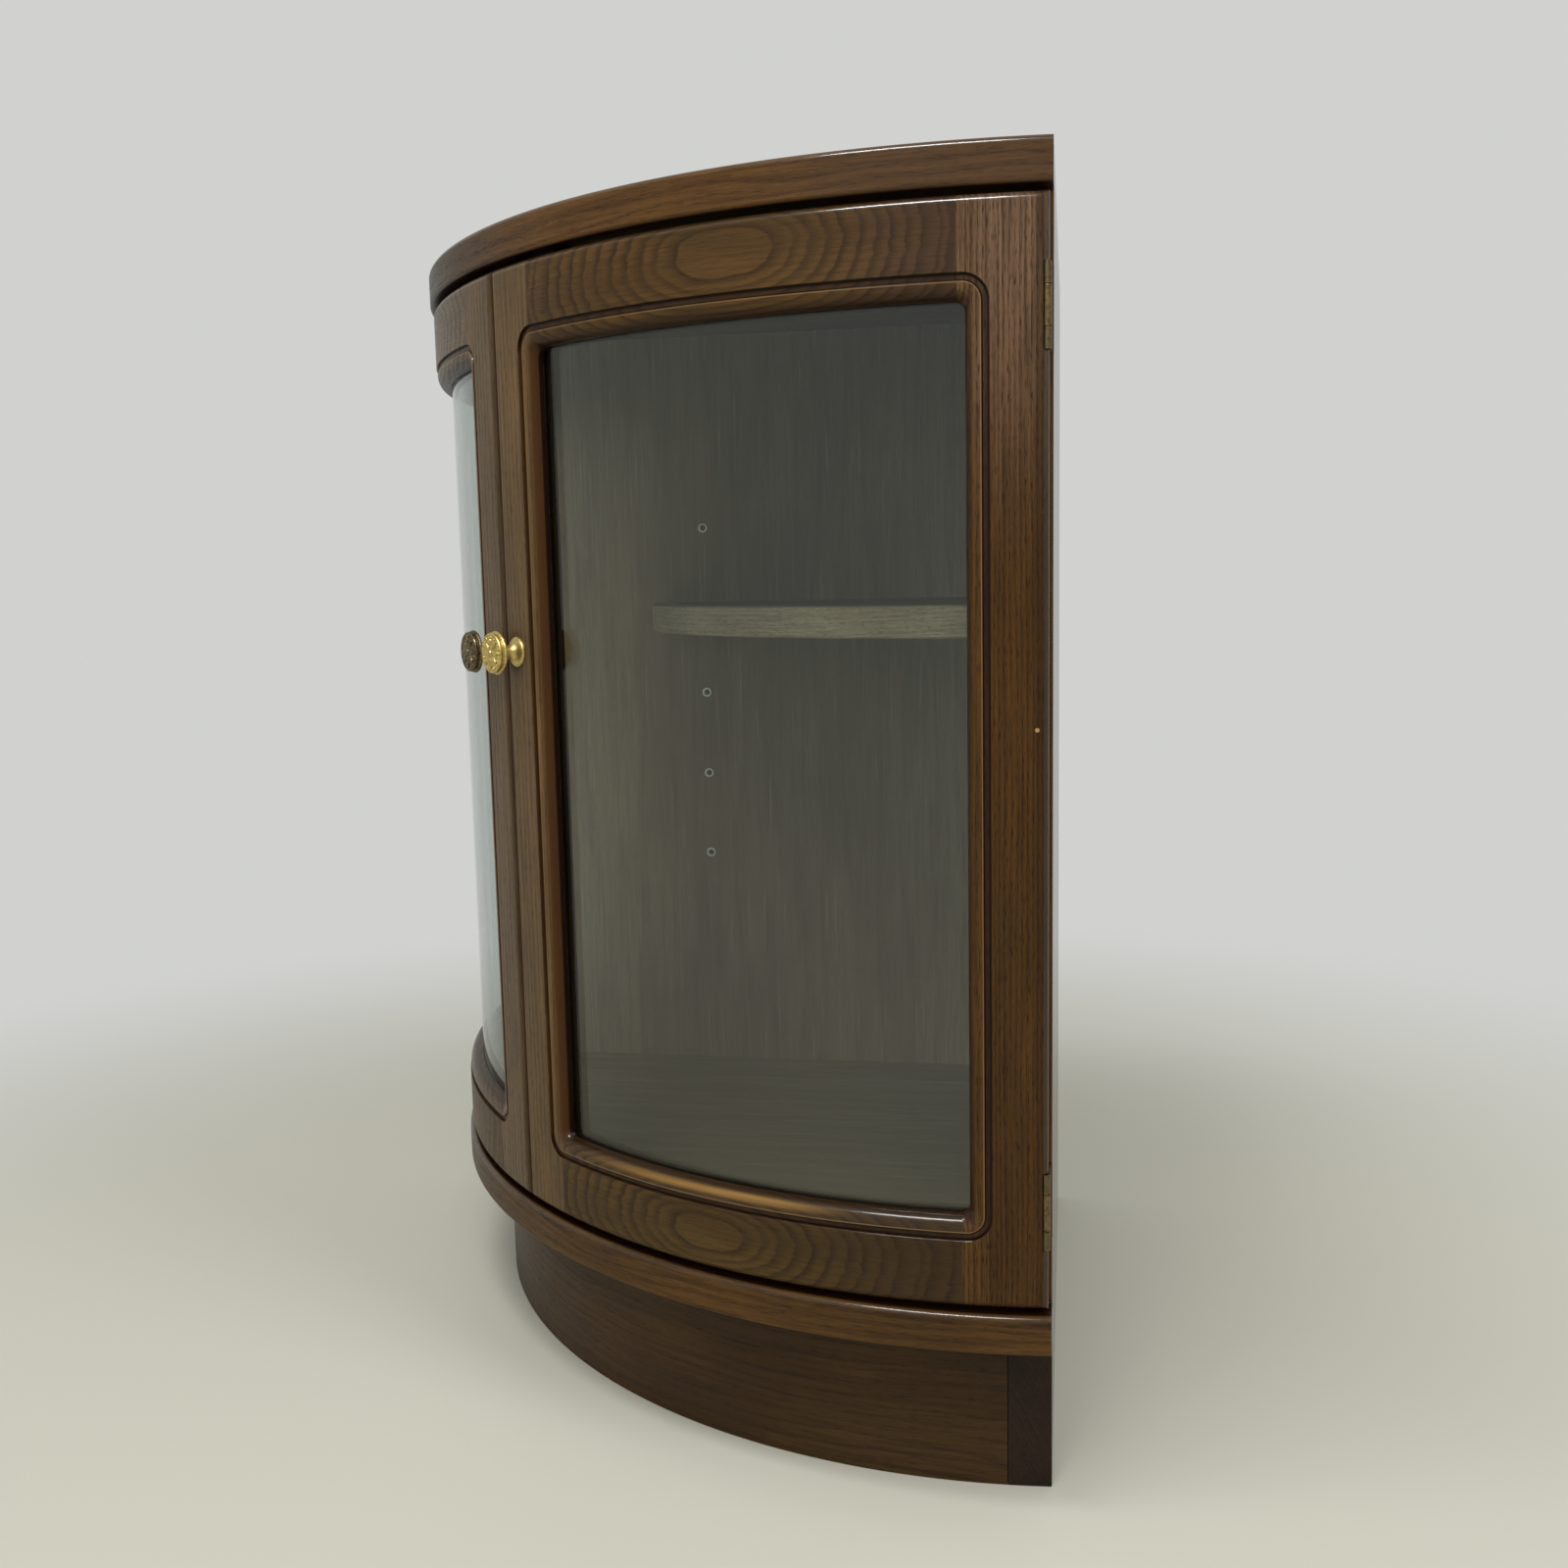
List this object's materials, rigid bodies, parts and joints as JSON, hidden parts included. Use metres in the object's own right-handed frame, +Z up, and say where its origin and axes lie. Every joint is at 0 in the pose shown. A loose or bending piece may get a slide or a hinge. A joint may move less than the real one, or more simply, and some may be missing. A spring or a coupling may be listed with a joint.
{
  "type": "corner curio cabinet",
  "caption": "Free-standing corner display cabinet with bowed glazed doors, a curved recessed plinth and an adjustable shelf.",
  "frame": {"origin": "on the floor, under the middle of the box around the cabinet", "axes": "+Z up; +X and +Y square to the two walls of the room corner, out through the right and left side panels; the bowed front faces -X and -Y"},
  "size_m": [0.552, 0.552, 0.868],
  "materials": {
    "frame_oak": "dark brown stained open-pore oak, semi-gloss lacquer",
    "board_oak": "dark brown stained oak, semi-gloss lacquer",
    "veneer_oak": "grey-brown stained veneer, satin lacquer",
    "plinth_oak": "plain dark brown stained wood, satin lacquer",
    "plinth_rail_oak": "very dark stained wood, satin lacquer",
    "glass": "clear bent glass",
    "bright_brass": "polished brass",
    "aged_brass": "tarnished antique brass",
    "hinge_brass": "dull brass",
    "fitting_steel": "plated steel",
    "catch_plastic": "dark brown plastic housing"
  },
  "bodies": {
    "cabinet": {"right_panel_lipping": "frame_oak", "left_panel_lipping": "frame_oak", "top_board": "board_oak", "top_board_lipping": "board_oak", "bottom_board": "board_oak", "bottom_board_lipping": "board_oak", "right_side_panel": "veneer_oak", "left_side_panel": "veneer_oak", "back_corner_post": "veneer_oak", "shelf_board": "veneer_oak", "shelf_nosing": "veneer_oak", "plinth_right_block": "veneer_oak", "plinth_left_block": "veneer_oak", "plinth_back_block": "veneer_oak", "plinth_front_board": "plinth_oak", "plinth_right_rail": "plinth_rail_oak", "plinth_left_rail": "plinth_rail_oak", "right_lower_hinge_frame_leaf": "hinge_brass", "right_lower_hinge_pin": "hinge_brass", "right_upper_hinge_frame_leaf": "hinge_brass", "right_upper_hinge_pin": "hinge_brass", "left_lower_hinge_frame_leaf": "hinge_brass", "left_lower_hinge_pin": "hinge_brass", "left_upper_hinge_frame_leaf": "hinge_brass", "left_upper_hinge_pin": "hinge_brass", "shelf_pin_right_front": "fitting_steel", "shelf_pin_right_back": "fitting_steel", "shelf_pin_left_front": "fitting_steel", "shelf_pin_left_back": "fitting_steel", "right_magnetic_catch": "catch_plastic", "left_magnetic_catch": "catch_plastic"},
    "right_door": {"right_door_hinge_stile": "frame_oak", "right_door_meeting_stile": "frame_oak", "right_door_top_rail": "frame_oak", "right_door_bottom_rail": "frame_oak", "right_door_top_glazing_bead": "frame_oak", "right_door_bottom_glazing_bead": "frame_oak", "right_door_hinge_side_glazing_bead": "frame_oak", "right_door_meeting_side_glazing_bead": "frame_oak", "right_door_glass": "glass", "right_knob": "bright_brass", "right_knob_screw": "fitting_steel", "right_strike_plate": "fitting_steel", "right_lower_hinge_door_leaf": "hinge_brass", "right_upper_hinge_door_leaf": "hinge_brass"},
    "left_door": {"left_door_hinge_stile": "frame_oak", "left_door_meeting_stile": "frame_oak", "left_door_top_rail": "frame_oak", "left_door_bottom_rail": "frame_oak", "left_door_top_glazing_bead": "frame_oak", "left_door_bottom_glazing_bead": "frame_oak", "left_door_hinge_side_glazing_bead": "frame_oak", "left_door_meeting_side_glazing_bead": "frame_oak", "left_door_glass": "glass", "left_knob": "aged_brass", "left_knob_screw": "fitting_steel", "left_strike_plate": "fitting_steel", "left_lower_hinge_door_leaf": "hinge_brass", "left_upper_hinge_door_leaf": "hinge_brass"}
  },
  "joints": [
    {"name": "right_door_hinge", "type": "hinge", "parent": "cabinet", "child": "right_door", "pos_m": [0.2726, -0.27049, 0.48925], "axis": [0, 0, 1], "range_deg": [0, 90]},
    {"name": "left_door_hinge", "type": "hinge", "parent": "cabinet", "child": "left_door", "pos_m": [-0.27049, 0.2726, 0.48925], "axis": [0, 0, -1], "range_deg": [0, 90]}
  ]
}
